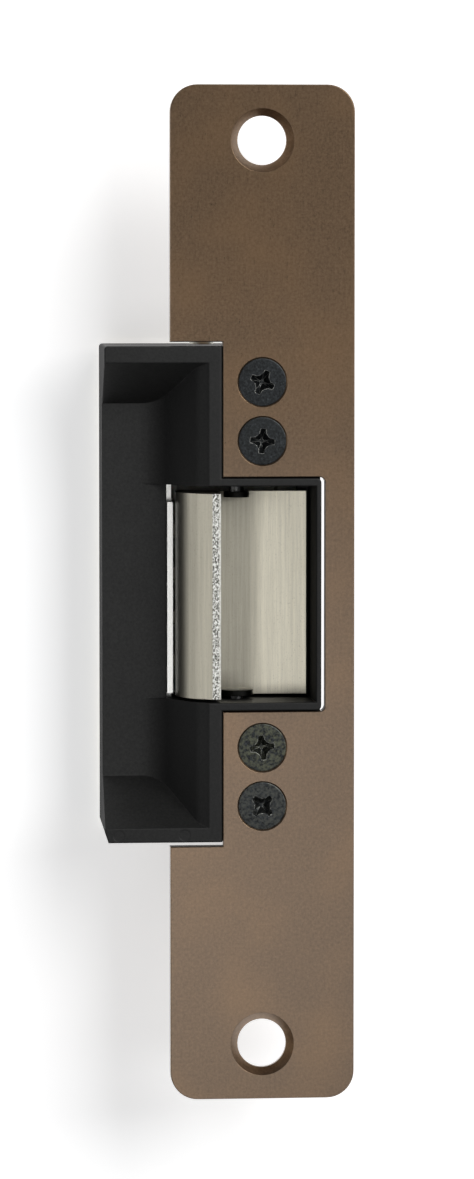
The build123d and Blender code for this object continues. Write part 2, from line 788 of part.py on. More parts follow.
with BuildPart() as pole_piece:
    add_rod(plunger_radius, solenoid_x, solenoid_y, pole_bottom, frame_top_inner)
    add_rod(pole_stem_radius, solenoid_x, solenoid_y, frame_top_inner, solenoid_top)
keep(pole_piece, "pole_piece")

with BuildPart() as plunger:
    add_rod(plunger_radius, solenoid_x, solenoid_y, plunger_bottom, plunger_top)
    chamfer(plunger.edges().sort_by(Axis.Z)[-1], plunger_top_chamfer)
    chamfer(plunger.edges().sort_by(Axis.Z)[0], plunger_end_chamfer)
    add_block(
        solenoid_x - plunger_radius,
        solenoid_x + plunger_radius,
        tab_front_y - plunger_slot_gap,
        bar_back_y + plunger_slot_gap,
        plunger_bottom,
        upper_tab_top + plunger_slot_headroom,
        Mode.SUBTRACT,
    )
    add_cross_rod(
        plunger_pin_radius,
        solenoid_x,
        pin_z,
        solenoid_y - plunger_radius,
        solenoid_y + plunger_radius,
        Mode.SUBTRACT,
    )
keep(plunger, "plunger")

with BuildPart() as plunger_pin:
    pin_half_length = plunger_radius + plunger_pin_overhang
    add_cross_rod(
        plunger_pin_radius,
        solenoid_x,
        pin_z,
        solenoid_y - pin_half_length,
        solenoid_y + pin_half_length,
    )
    chamfer(plunger_pin.edges().filter_by(GeomType.CIRCLE), plunger_pin_chamfer)
keep(plunger_pin, "plunger_pin")

with BuildPart() as coil_terminals:
    for x in terminal_places:
        add_cross_rod(terminal_radius, x, terminal_z, terminal_front_y, terminal_back_y)
keep(coil_terminals, "coil_terminals")

# ---- rear cover and fasteners -------------------------------------------------------------
with BuildPart() as rear_cover:
    add_block(
        cover_left,
        pocket_box_right - cover_inset,
        back_y,
        back_y + cover_thickness,
        -half_height + cover_inset,
        half_height - cover_inset,
    )
    fillet(rear_cover.edges().filter_by(Axis.Y), cover_corner_radius)
    # stamped panel: raised outside, hollow inside
    panel_half = half_height - cover_panel_margin
    panel_width = post_right_x - post_left_x - 2 * cover_post_radius
    for face_y, mode in ((back_y + cover_thickness, Mode.ADD), (back_y, Mode.SUBTRACT)):
        panel_plane = Plane(
            origin=((post_left_x + post_right_x) / 2, face_y, 0), x_dir=(1, 0, 0), z_dir=(0, 1, 0)
        )
        with BuildSketch(panel_plane):
            RectangleRounded(panel_width, 2 * panel_half, cover_panel_radius)
        extrude(amount=cover_panel_height, taper=cover_panel_taper, mode=mode)
    for x, z in post_places:
        add_cross_rod(cover_screw_radius, x, z, back_y, back_y + cover_thickness, Mode.SUBTRACT)
keep(rear_cover, "rear_cover")

head_seat_y = back_y + cover_thickness
cover_screw_tip_y = back_y - cover_screw_length + cover_screw_end_gap
with BuildPart() as cover_screws:
    for x, z in post_places:
        add_cross_rod(cover_screw_radius, x, z, cover_screw_tip_y, head_seat_y)
        add_cross_rod(cover_head_radius, x, z, head_seat_y, head_seat_y + cover_head_height)
    head_rims = cover_screws.edges().filter_by(GeomType.CIRCLE).group_by(Axis.Y)[-1]
    fillet(head_rims, cover_head_fillet)
    span, slit, depth = cover_head_recess
    head_top_y = head_seat_y + cover_head_height
    for x, z in post_places:
        for width, height in ((span, slit), (slit, span)):
            with Locations((x, head_top_y - depth / 2, z)):
                Box(width, depth, height, mode=Mode.SUBTRACT)
keep(cover_screws, "cover_screws")

with BuildPart() as solenoid_screws:
    solenoid_head_top = half_height + solenoid_head_height
    for x in solenoid_screw_x:
        add_rod(solenoid_screw_radius, x, solenoid_y, frame_top_inner, half_height)
        add_rod(solenoid_head_radius, x, solenoid_y, half_height, solenoid_head_top)
    top_rims = solenoid_screws.edges().filter_by(GeomType.CIRCLE).group_by(Axis.Z)[-1]
    fillet(top_rims, solenoid_head_fillet)
    span, slit, depth = solenoid_head_recess
    for x in solenoid_screw_x:
        for width, length in ((span, slit), (slit, span)):
            with Locations((x, solenoid_y, solenoid_head_top - depth / 2)):
                Box(width, length, depth, mode=Mode.SUBTRACT)
keep(solenoid_screws, "solenoid_screws")

head_front_y = front_y + screw_seat
with BuildPart() as faceplate_screws:
    for x, z in screw_places:
        with Locations(Location((x, head_front_y / 2, z), (90, 0, 0))):
            Cone(screw_shank_radius, screw_head_radius, -head_front_y)
        add_cross_rod(screw_shank_radius, x, z, 0, screw_end)
    for (x, z), turn in zip(screw_places, screw_recess_turns):
        head_plane = Plane(origin=(x, head_front_y, z), x_dir=(1, 0, 0), z_dir=(0, 1, 0))
        recess_plane = head_plane.rotated((0, turn, 0))
        with BuildSketch(recess_plane):
            Rectangle(recess_cross_span, recess_cross_width)
            Rectangle(recess_cross_width, recess_cross_span)
        extrude(amount=recess_cross_depth, taper=recess_cross_taper, mode=Mode.SUBTRACT)
keep(faceplate_screws, "faceplate_screws")

grommet_rim_radius = grommet_neck_radius + grommet_flange
grommet_low = inner_half - grommet_rim_thickness
grommet_high = half_height + grommet_rim_thickness
with BuildPart() as wire_grommet:
    add_rod(grommet_neck_radius, grommet_x, grommet_y, inner_half, half_height)
    add_rod(grommet_rim_radius, grommet_x, grommet_y, half_height, grommet_high)
    add_rod(grommet_rim_radius, grommet_x, grommet_y, grommet_low, inner_half)
    rims = wire_grommet.edges().filter_by(GeomType.CIRCLE)
    outer_rims = rims.filter_by(lambda edge: edge.radius > grommet_neck_radius + reach)
    outer_rims = outer_rims.sort_by(Axis.Z)
    fillet((outer_rims[0], outer_rims[-1]), grommet_rim_fillet)
    add_rod(grommet_bore_radius, grommet_x, grommet_y, grommet_low, grommet_high, Mode.SUBTRACT)
keep(wire_grommet, "wire_grommet")
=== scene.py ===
import json
import math

import bmesh
import bpy
from mathutils import Matrix, Vector


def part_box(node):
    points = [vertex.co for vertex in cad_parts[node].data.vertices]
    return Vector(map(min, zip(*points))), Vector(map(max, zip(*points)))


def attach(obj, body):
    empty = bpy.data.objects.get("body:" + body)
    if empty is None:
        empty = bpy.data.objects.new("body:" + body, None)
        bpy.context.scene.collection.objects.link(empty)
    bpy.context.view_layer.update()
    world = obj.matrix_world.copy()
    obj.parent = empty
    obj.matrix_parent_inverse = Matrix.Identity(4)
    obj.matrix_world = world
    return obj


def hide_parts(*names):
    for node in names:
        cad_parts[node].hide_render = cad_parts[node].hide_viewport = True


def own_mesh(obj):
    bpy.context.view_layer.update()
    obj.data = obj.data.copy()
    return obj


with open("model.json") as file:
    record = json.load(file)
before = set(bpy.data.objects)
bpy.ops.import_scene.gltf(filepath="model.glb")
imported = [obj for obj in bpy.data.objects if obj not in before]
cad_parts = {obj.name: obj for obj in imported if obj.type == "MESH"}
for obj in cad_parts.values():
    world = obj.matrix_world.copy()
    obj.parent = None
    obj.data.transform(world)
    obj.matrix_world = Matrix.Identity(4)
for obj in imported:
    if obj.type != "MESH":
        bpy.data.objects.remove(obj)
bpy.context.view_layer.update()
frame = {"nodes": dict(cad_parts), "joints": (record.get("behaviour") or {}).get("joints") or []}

bl_info = {
    "name": "Electric Door Strike",
    "version": (1, 0, 0),
    "blender": (4, 5, 0),
    "location": "View3D > Sidebar > Strike",
    "description": "Finishes, screws and studio for an electric door strike",
    "category": "Object",
}

MM = 0.001
BLACK = (0.0, 0.0, 0.0)
PLATE_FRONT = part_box("faceplate")[0].y
KEEPER_LOW, KEEPER_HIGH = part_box("keeper")
BACK_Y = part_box("cover_screws")[1].y
BAR_TRAVEL = next(joint for joint in frame["joints"] if joint["name"] == "lock_slide")["range_m"][1]

# places on the keeper, in millimetres: its ears begin beside the lip and end in front of the leg,
# and the front land is rough on the lip's side of its middle
EAR_START = -6.85
EAR_BACK = 7.4
EAR_THICKNESS = 1.05
LAND_MIDDLE = -7.45

# turns of the return spring
SPRING_TURNS = 5

# the camera: its turn to the right and its drop in degrees, the point it looks at, and its lens
CAMERA_TURN = 4.9
CAMERA_DROP = 3.86
CAMERA_AIM = (-4.4 * MM, PLATE_FRONT, 0.93 * MM)
CAMERA_LENS = 159.4
CAMERA_SENSOR = 36.0

# the area lights, aimed at the strike: name, place, width and height, power
SOFT_BOXES = (
    ("key", (0.75, -1.05, 0.65), (1.0, 1.0), 17.5),
    ("fill", (-1.15, -0.55, -0.05), (0.9, 0.5), 1.6),
    ("low_front", (-0.3, -1.4, -0.22), (1.1, 0.32), 2.0),
    ("back_left", (-0.8, 0.9, 0.7), (0.8, 0.8), 7.0),
    ("back_right", (0.9, 0.8, 0.2), (0.8, 0.8), 4.0),
)


# ---- shader writing -----------------------------------------------------------------------


class Value:
    """A shader socket that ordinary arithmetic can be written with."""

    def __init__(self, finish, socket):
        self.finish = finish
        self.socket = socket

    def _math(self, operation, first, second):
        return self.finish.node("ShaderNodeMath", {"operation": operation}, {0: first, 1: second})

    def __add__(self, other):
        return self._math("ADD", self, other)

    __radd__ = __add__

    def __sub__(self, other):
        return self._math("SUBTRACT", self, other)

    def __rsub__(self, other):
        return self._math("SUBTRACT", other, self)

    def __mul__(self, other):
        return self._math("MULTIPLY", self, other)

    __rmul__ = __mul__

    def __truediv__(self, other):
        return self._math("DIVIDE", self, other)

    def __lt__(self, other):
        return self._math("LESS_THAN", self, other)

    def __gt__(self, other):
        return self._math("GREATER_THAN", self, other)

    def __abs__(self):
        return self.finish.node("ShaderNodeMath", {"operation": "ABSOLUTE"}, {0: self})


class Finish:
    """One node material: a Principled shader and the nodes that feed it."""

    def __init__(self, name, **constants):
        self.material = bpy.data.materials.new(name)
        self.material.use_nodes = True
        self.tree = self.material.node_tree
        self.tree.nodes.clear()
        output = self.tree.nodes.new("ShaderNodeOutputMaterial")
        self.shader = self.tree.nodes.new("ShaderNodeBsdfPrincipled")
        self.tree.links.new(self.shader.outputs["BSDF"], output.inputs["Surface"])
        self.feed(**{key.replace("_", " "): value for key, value in constants.items()})

    def node(self, kind, settings=None, inputs=None, output=0):
        """Adds a node: its settings first, then the values or links of its sockets."""
        made = self.tree.nodes.new(kind)
        for key, value in (settings or {}).items():
            if key == "stops":
                self._stops(made.color_ramp, value)
            else:
                setattr(made, key, value)
        for key, value in (inputs or {}).items():
            self._join(made.inputs[key], value)
        return Value(self, made.outputs[output])

    def _stops(self, ramp, stops):
        while len(ramp.elements) < len(stops):
            ramp.elements.new(0.5)
        for element, (place, shade) in zip(ramp.elements, stops):
            element.position = place
            element.color = (*shade, 1.0) if hasattr(shade, "__len__") else (shade, shade, shade, 1.0)

    def _join(self, socket, value):
        if isinstance(value, Value):
            self.tree.links.new(value.socket, socket)
        elif hasattr(value, "__len__") and socket.type == "RGBA":
            socket.default_value = (*value, 1.0)
        else:
            socket.default_value = value

    def feed(self, **sockets):
        """Gives the Principled shader's sockets their values or links."""
        for key, value in sockets.items():
            self._join(self.shader.inputs[key.replace("_", " ")], value)
        return self

    def place(self, stretch=(1.0, 1.0, 1.0)):
        """The point on the piece in millimetres, stretched along its axes."""
        point = self.node("ShaderNodeTexCoord", output="Object")
        scale = [factor / MM for factor in stretch]
        return self.node("ShaderNodeVectorMath", {"operation": "MULTIPLY"}, {0: point, 1: scale})

    def axis(self, name):
        """One coordinate of the point on the piece, in millimetres."""
        return self.node("ShaderNodeSeparateXYZ", None, {0: self.place()}, output=name)

    def noise(self, scale, detail=3.0, stretch=(1.0, 1.0, 1.0), roughness=0.5):
        """Cloudy noise from 0 to 1; scale is in features per millimetre."""
        inputs = {"Vector": self.place(stretch), "Scale": scale, "Detail": detail, "Roughness": roughness}
        return self.node("ShaderNodeTexNoise", None, inputs)

    def ramp(self, factor, stops):
        """Maps a value through a list of (place, shade) stops."""
        return self.node("ShaderNodeValToRGB", {"stops": stops}, {"Fac": factor})

    def mix(self, factor, first, second):
        """Mixes two colours."""
        settings = {"data_type": "RGBA", "clamp_factor": True}
        return self.node("ShaderNodeMix", settings, {0: factor, 6: first, 7: second}, output=2)

    def tint(self, colour, low, high, factor):
        """A colour whose brightness runs from low to high with the factor."""
        dark = [channel * low for channel in colour]
        light = [channel * high for channel in colour]
        return self.mix(factor, dark, light)

    def bump(self, height, distance, strength=1.0, normal=None):
        """A Bump node; distance is in millimetres."""
        inputs = {"Height": height, "Distance": distance * MM, "Strength": strength}
        if normal is not None:
            inputs["Normal"] = normal
        return self.node("ShaderNodeBump", None, inputs)

    def soft_edge(self, radius):
        """A normal that rounds sharp edges over a radius in millimetres."""
        return self.node("ShaderNodeBevel", {"samples": 6}, {"Radius": radius * MM})

    def edge_mask(self, radius, sharpness=6.0):
        """1 along sharp edges and 0 on flat faces."""
        flat = self.node("ShaderNodeNewGeometry", output="Normal")
        along = self.node(
            "ShaderNodeVectorMath",
            {"operation": "DOT_PRODUCT"},
            {0: self.soft_edge(radius), 1: flat},
            output="Value",
        )
        clamped = {"operation": "MULTIPLY", "use_clamp": True}
        return self.node("ShaderNodeMath", clamped, {0: 1.0 - along, 1: sharpness})


# ---- finishes -----------------------------------------------------------------------------


def bronze_plate(look):
    """Dark bronze anodised plate: satin, finely brushed along its length."""
    coat = {"Coat_Weight": 0.75, "Coat_IOR": 1.5, "Coat_Roughness": 0.16}
    finish = Finish("bronze_plate", Metallic=1.0, **coat)
    grain = finish.noise(1.0, 4.0, (9.0, 9.0, 0.55), 0.65)
    mottle = finish.noise(1.3, 5.0, (1.0, 1.0, 0.8), 0.6)
    cloud = finish.noise(0.06, 2.0)
    speck = finish.ramp(finish.noise(2.1, 3.0, roughness=0.7), [(0.3, 0.0), (0.7, 1.0)])
    tone = grain * 0.25 + mottle * 0.2 + speck * 0.35 + cloud * 0.2
    colour = finish.tint(look.bronze, 0.35, 1.67, tone)
    warm = finish.mix(finish.ramp(cloud, [(0.45, 0.0), (0.7, 0.22)]), colour, (0.30, 0.17, 0.075))
    worn = finish.edge_mask(0.12) * finish.ramp(mottle, [(0.35, 0.05), (0.7, 0.45)])
    finish.feed(Base_Color=finish.mix(worn, warm, (0.42, 0.33, 0.24)))
    finish.feed(Roughness=0.22 + 0.1 * grain + 0.05 * mottle)
    height = grain * 0.6 + mottle * 0.4
    return finish.feed(Normal=finish.bump(height, 0.006, 0.5, finish.soft_edge(0.1))).material


def black_casting(look):
    """Black painted die casting: textured, with painted shade on its left faces and front rim, lighter on worn
    edges.
    """
    finish = Finish("black_casting", Metallic=0.0, Specular_IOR_Level=0.36)
    skin = finish.noise(2.6, 5.0, roughness=0.62)
    cloud = finish.noise(0.12, 3.0)
    grit = finish.ramp(finish.noise(2.4, 3.0, roughness=0.7), [(0.3, 0.0), (0.7, 1.0)])
    colour = finish.tint(look.casting, 0.1, 1.95, grit * 0.65 + cloud * 0.35)
    # painted shade: faces turned towards the left are mixed three quarters of the way to black, and the same
    # mask makes them rougher
    normal = finish.node("ShaderNodeTexCoord", output="Normal")
    sideways = finish.node("ShaderNodeSeparateXYZ", None, {0: normal}, output="X")
    side = finish.ramp(0.0 - sideways, [(0.2, 0.0), (0.8, 1.0)])
    colour = finish.mix(side * 0.75, colour, BLACK)
    # painted shade: the front rim, up to 0.3 mm behind the faceplate's front, is mixed a little towards black
    rim = finish.axis("Y") < PLATE_FRONT / MM + 0.3
    colour = finish.mix(rim * 0.22, colour, BLACK)
    worn = finish.edge_mask(0.16) * finish.ramp(skin, [(0.4, 0.1), (0.75, 0.55)])
    finish.feed(Base_Color=finish.mix(worn, colour, (0.045, 0.046, 0.043)))
    finish.feed(Roughness=0.44 + 0.14 * skin + 0.35 * side)
    return finish.feed(Normal=finish.bump(skin, 0.03, 0.45, finish.soft_edge(0.22))).material


def keeper_ears(finish):
    """1 on the keeper's thin ears and 0 elsewhere."""
    middle = (KEEPER_HIGH.z + KEEPER_LOW.z) / 2 / MM
    half_length = (KEEPER_HIGH.z - KEEPER_LOW.z) / 2 / MM
    before_leg = (finish.axis("Y") < EAR_BACK) * (finish.axis("X") > EAR_START)
    at_end = abs(finish.axis("Z") - middle) > half_length - EAR_THICKNESS
    return before_leg * at_end > 0.5


def keeper_shade(finish):
    """Painted light and shade: how bright the keeper is across its width, with a painted shade in the leg's
    lower left corner.
    """
    across = (finish.axis("X") - KEEPER_LOW.x / MM) / ((KEEPER_HIGH.x - KEEPER_LOW.x) / MM)
    lip = [(0.0, 0.08), (0.05, 0.12), (0.09, 0.2), (0.13, 0.42), (0.2, 0.58)]
    leg = [(0.29, 0.64), (0.325, 0.44), (0.58, 0.47), (0.7, 0.9), (1.0, 1.0)]
    # painted shade in the leg's lower left corner
    corner_height = 4.5
    upwards = (finish.axis("Z") - KEEPER_LOW.z / MM) / corner_height
    low_end = finish.ramp(upwards, [(0.0, 1.0), (0.3, 0.75), (1.0, 0.0)])
    left_end = finish.ramp(across, [(0.3, 0.0), (0.33, 1.0), (0.42, 0.8), (0.6, 0.0)])
    corner_shade = low_end * left_end * 0.75
    return finish.ramp(across, lip + leg) * (1.0 - corner_shade)


def brushed_stainless(look):
    """Stainless steel brushed along the keeper's length, with pits, a rough front land, painted light and shade
    across its width and ears painted black as shade.
    """
    finish = Finish("brushed_stainless", Metallic=1.0)
    fine = finish.noise(1.0, 3.0, (14.0, 14.0, 0.22), 0.7)
    broad = finish.noise(1.0, 2.0, (2.2, 2.2, 0.05), 0.5)
    speckle = finish.noise(5.5, 2.0, roughness=0.7)
    sparkle = finish.noise(1.0, 2.0, (3.4, 3.4, 2.2), 0.8)
    pits = finish.ramp(speckle, [(0.60, 0.0), (0.70, 1.0)])
    steel = finish.tint(look.stainless, 0.42, 1.42, fine * 0.45 + broad * 0.35 + speckle * 0.2)
    steel = finish.mix(pits * 0.5, steel, (0.23, 0.21, 0.16))
    # painted light and shade: the keeper's colour runs towards black by its place across its width
    steel = finish.mix(keeper_shade(finish), BLACK, steel)
    flecks = [(0.42, (0.12, 0.12, 0.10)), (0.5, (0.62, 0.61, 0.56)), (0.6, (1.0, 1.0, 0.97))]
    smooth = finish.axis("X") > LAND_MIDDLE
    land = finish.mix(smooth * 0.75, finish.ramp(sparkle, flecks), (0.85, 0.84, 0.77))
    front = finish.axis("Y") < PLATE_FRONT / MM + 0.06
    steel = finish.mix(front, steel, land)
    # painted shade: the ears are the same steel, painted near black
    finish.feed(Base_Color=finish.mix(keeper_ears(finish), steel, (0.012, 0.012, 0.011)))
    finish.feed(Roughness=0.24 + 0.2 * fine + 0.1 * speckle)
    height = fine * 0.55 + speckle * 0.25 + sparkle * front * 1.6
    return finish.feed(Normal=finish.bump(height, 0.02, 0.5, finish.soft_edge(0.12))).material


def ground_steel(look):
    """Hardened steel ground bright on its narrow edges."""
    finish = Finish("ground_steel", Metallic=1.0)
    speckle = finish.noise(3.2, 3.0, (2.0, 1.0, 1.0), 0.7)
    fine = finish.noise(1.0, 3.0, (16.0, 16.0, 0.3), 0.6)
    bright = finish.tint(look.ground, 0.9, 1.03, finish.ramp(speckle, [(0.35, 0.0), (0.6, 1.0)]))
    finish.feed(Base_Color=bright, Roughness=0.22 + 0.16 * fine)
    return finish.feed(Normal=finish.bump(fine, 0.012, 0.4, finish.soft_edge(0.06))).material


def turned_steel(look, name="turned_steel", shade_scale=1.0):
    """Bright steel with fine turning rings and light staining, darkened all over as painted shade when its
    scale is below one.
    """
    finish = Finish(name, Metallic=1.0)
    rings = finish.noise(1.0, 2.0, (0.4, 0.4, 18.0), 0.6)
    stain = finish.noise(0.7, 3.0)
    finish.feed(Base_Color=finish.tint(look.bright, 0.75 * shade_scale, 1.1 * shade_scale, stain * 0.6 + rings * 0.4))
    finish.feed(Roughness=0.2 + 0.22 * rings)
    return finish.feed(Normal=finish.bump(rings, 0.008, 0.4, finish.soft_edge(0.08))).material


def spring_wire(look):
    """Drawn spring wire, darkened by heat treatment."""
    finish = Finish("spring_wire", Metallic=1.0)
    drawn = finish.noise(6.0, 3.0, (1.0, 1.0, 0.5))
    finish.feed(Base_Color=finish.tint(look.spring, 0.7, 1.25, drawn))
    finish.feed(Roughness=0.28 + 0.2 * drawn)
    return finish.feed(Normal=finish.bump(drawn, 0.01, 0.35)).material


def zinc_plate(look):
    """Zinc-plated sheet and screws: pale, slightly yellow and cloudy."""
    finish = Finish("zinc_plate", Metallic=1.0)
    cloud = finish.noise(0.35, 5.0, roughness=0.6)
    rolled = finish.noise(1.0, 3.0, (0.25, 6.0, 7.0), 0.6)
    straw = finish.mix(finish.ramp(cloud, [(0.4, 0.0), (0.65, 0.5)]), look.zinc, (0.62, 0.55, 0.38))
    dulled = finish.mix(finish.ramp(rolled, [(0.5, 0.0), (0.75, 0.3)]), straw, (0.34, 0.34, 0.32))
    worn = finish.edge_mask(0.15) * 0.5
    finish.feed(Base_Color=finish.mix(worn, dulled, (0.8, 0.79, 0.74)))
    finish.feed(Roughness=0.3 + 0.25 * cloud)
    height = rolled * 0.6 + cloud * 0.4
    return finish.feed(Normal=finish.bump(height, 0.015, 0.4, finish.soft_edge(0.15))).material


def black_oxide(look, name="black_oxide", patina=(0.060, 0.072, 0.045)):
    """Oil-blackened screw with a mottled patina, and pale edges that are partly rubbed wear and partly a
    painted highlight.
    """
    finish = Finish(name, Metallic=0.75, Specular_IOR_Level=0.6)
    mottle = finish.noise(1.7, 5.0, roughness=0.65)
    fleck = finish.noise(3.0, 3.0, roughness=0.7)
    dark = finish.tint(look.oxide, 0.2, 1.7, finish.ramp(fleck, [(0.35, 0.0), (0.65, 1.0)]))
    colour = finish.mix(finish.ramp(mottle, [(0.42, 0.0), (0.62, 0.85)]), dark, patina)
    # painted highlight, partly rubbed wear: sharp edges are mixed towards pale metal, patchy with the mottle
    edge_highlight = finish.edge_mask(0.13, 12.0) * finish.ramp(mottle, [(0.4, 0.05), (0.6, 1.0)])
    finish.feed(Base_Color=finish.mix(edge_highlight, colour, (0.75, 0.75, 0.70)))
    finish.feed(Roughness=0.3 + 0.25 * mottle)
    return finish.feed(Normal=finish.bump(fleck * 0.5 + mottle, 0.03, 0.5, finish.soft_edge(0.07))).material


def moulded_rubber(look):
    """Moulded black rubber with a dusty bloom."""
    finish = Finish("moulded_rubber", Specular_IOR_Level=0.35)
    bloom = finish.noise(0.9, 4.0)
    pore = finish.noise(7.0, 3.0)
    finish.feed(Base_Color=finish.tint(look.rubber, 0.7, 1.7, bloom), Roughness=0.62 + 0.2 * bloom)
    return finish.feed(Normal=finish.bump(pore, 0.02, 0.5, finish.soft_edge(0.2))).material


def natural_nylon(look):
    """Natural moulded nylon, slightly milky."""
    finish = Finish("natural_nylon", Specular_IOR_Level=0.45, Subsurface_Weight=0.12, Subsurface_Scale=0.001)
    flow = finish.noise(0.5, 4.0, (1.0, 1.0, 0.3))
    pore = finish.noise(5.0, 3.0)
    finish.feed(Base_Color=finish.tint(look.nylon, 0.88, 1.05, flow), Roughness=0.4 + 0.15 * pore)
    return finish.feed(Normal=finish.bump(pore, 0.015, 0.4, finish.soft_edge(0.15))).material


def enamelled_copper(look):
    """Enamelled copper wire, glossy with darker stretches."""
    finish = Finish("enamelled_copper", Metallic=0.85, Coat_Weight=0.6, Coat_Roughness=0.12)
    stretch = finish.noise(0.8, 3.0, (1.0, 1.0, 5.0))
    finish.feed(Base_Color=finish.tint(look.copper, 0.6, 1.15, stretch), Roughness=0.22 + 0.12 * stretch)
    return finish.feed(Normal=finish.bump(stretch, 0.01, 0.3)).material


def coil_tape(look):
    """Amber tape wound round the coil, with its overlap edges."""
    finish = Finish("coil_tape", Specular_IOR_Level=0.5)
    wave = {"Vector": finish.place(), "Scale": 0.11}
    turns = finish.node("ShaderNodeTexWave", {"bands_direction": "Z"}, wave)
    wrinkle = finish.noise(0.8, 4.0, (0.6, 0.6, 2.0))
    finish.feed(Base_Color=finish.tint(look.tape, 0.7, 1.1, turns * 0.5 + wrinkle * 0.5))
    finish.feed(Roughness=0.26 + 0.2 * wrinkle)
    return finish.feed(Normal=finish.bump(turns + wrinkle * 0.6, 0.05, 0.5)).material


def tinned_brass(look):
    """Tinned brass terminal pins."""
    finish = Finish("tinned_brass", Metallic=1.0)
    solder = finish.noise(2.5, 4.0)
    brass = finish.mix(finish.ramp(solder, [(0.4, 0.0), (0.6, 1.0)]), look.brass, (0.6, 0.6, 0.58))
    finish.feed(Base_Color=brass, Roughness=0.2 + 0.25 * solder)
    return finish.feed(Normal=finish.bump(solder, 0.02, 0.4)).material


def pale_floor(look):
    """Matt white card, seen from its front only."""
    glow = {"Emission_Color": (1.0, 1.0, 1.0), "Emission_Strength": 0.5}
    finish = Finish("pale_floor", Specular_IOR_Level=0.1, **glow)
    paper = finish.noise(0.4, 4.0)
    finish.feed(Base_Color=finish.tint(look.floor, 0.985, 1.0, paper), Roughness=0.9 + 0.05 * paper)
    behind = finish.node("ShaderNodeNewGeometry", output="Backfacing")
    clear = finish.node("ShaderNodeBsdfTransparent", output="BSDF")
    card = Value(finish, finish.shader.outputs[0])
    shown = finish.node("ShaderNodeMixShader", None, {0: behind, 1: card, 2: clear})
    output = finish.tree.nodes["Material Output"]
    finish.tree.links.new(shown.socket, output.inputs["Surface"])
    return finish.material


# ---- mesh helpers -------------------------------------------------------------------------


def settle(piece, material, body):
    """Gives a new piece its material and the body it rides on."""
    piece.data.materials.clear()
    piece.data.materials.append(material)
    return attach(piece, body)


def repaint(node, material):
    """Gives a CAD node its material."""
    piece = frame["nodes"][node]
    for slot in piece.material_slots:
        slot.material = material


def mesh_object(name, shape):
    """Turns a finished bmesh into an object in the scene."""
    bmesh.ops.recalc_face_normals(shape, faces=shape.faces)
    mesh = bpy.data.meshes.new(name)
    shape.to_mesh(mesh)
    shape.free()
    piece = bpy.data.objects.new(name, mesh)
    bpy.context.scene.collection.objects.link(piece)
    return piece


def turned(outline, steps):
    """A closed solid turned about Z from (radius, height) points that start and end on the axis."""
    shape = bmesh.new()
    rings = []
    turn = 2 * math.pi / steps
    for radius, height in outline:
        if radius == 0:
            rings.append([shape.verts.new((0, 0, height))])
            continue
        around = [(radius * math.cos(turn * i), radius * math.sin(turn * i), height) for i in range(steps)]
        rings.append([shape.verts.new(point) for point in around])
    for low, high in zip(rings, rings[1:]):
        for i in range(steps):
            j = (i + 1) % steps
            corners = [low[i % len(low)], low[j % len(low)], high[j % len(high)], high[i % len(high)]]
            unique = list(dict.fromkeys(corners))
            shape.faces.new(unique)
    return shape


def cross_cutter(span, width, depth, top):
    """A cross recess that narrows downwards, with round inner corners."""
    half_span = span / 2
    half_width = width / 2
    inner = half_width * 1.55
    quarter = [(half_span * 0.97, -half_width * 0.8), (half_span, 0.0), (half_span * 0.97, half_width * 0.8)]
    bend = [(inner + (half_span - inner) * 0.35, half_width * 0.98), (inner, inner)]
    bend.append((half_width * 0.98, inner + (half_span - inner) * 0.35))
    outline = []
    for turn in range(4):
        spin = Matrix.Rotation(turn * math.pi / 2, 2)
        outline += [spin @ Vector(point) for point in quarter + bend]
    shape = bmesh.new()
    levels = [(top, 1.12), (0.0, 1.0), (-depth * 0.75, 0.62), (-depth, 0.25)]
    rings = []
    for height, scale in levels:
        rings.append([shape.verts.new((p.x * scale, p.y * scale, height)) for p in outline])
    for low, high in zip(rings, rings[1:]):
        for i in range(len(outline)):
            j = (i + 1) % len(outline)
            shape.faces.new((low[i], low[j], high[j], high[i]))
    shape.faces.new(rings[0])
    shape.faces.new(list(reversed(rings[-1])))
    return shape


def cut(piece, cutter):
    """Cuts one object out of another and keeps the result as the piece's mesh."""
    modifier = piece.modifiers.new("recess", "BOOLEAN")
    modifier.operation = "DIFFERENCE"
    modifier.solver = "EXACT"
    modifier.object = cutter
    bpy.context.view_layer.update()
    shown = piece.evaluated_get(bpy.context.evaluated_depsgraph_get())
    mesh = bpy.data.meshes.new_from_object(shown)
    piece.modifiers.clear()
    piece.data = mesh
    bpy.data.objects.remove(cutter)
    if len(mesh.polygons) < 40:
        raise RuntimeError(f"{piece.name}: the recess was not cut")


def soften(piece, width, segments=2, angle=35):
    """Rounds the sharp edges of a piece and smooths its shading."""
    modifier = piece.modifiers.new("soft_edges", "BEVEL")
    modifier.width = width
    modifier.segments = segments
    modifier.limit_method = "ANGLE"
    modifier.angle_limit = math.radians(angle)
    modifier.harden_normals = False
    for polygon in piece.data.polygons:
        polygon.use_smooth = True
    piece.data.set_sharp_from_angle(angle=math.radians(40))


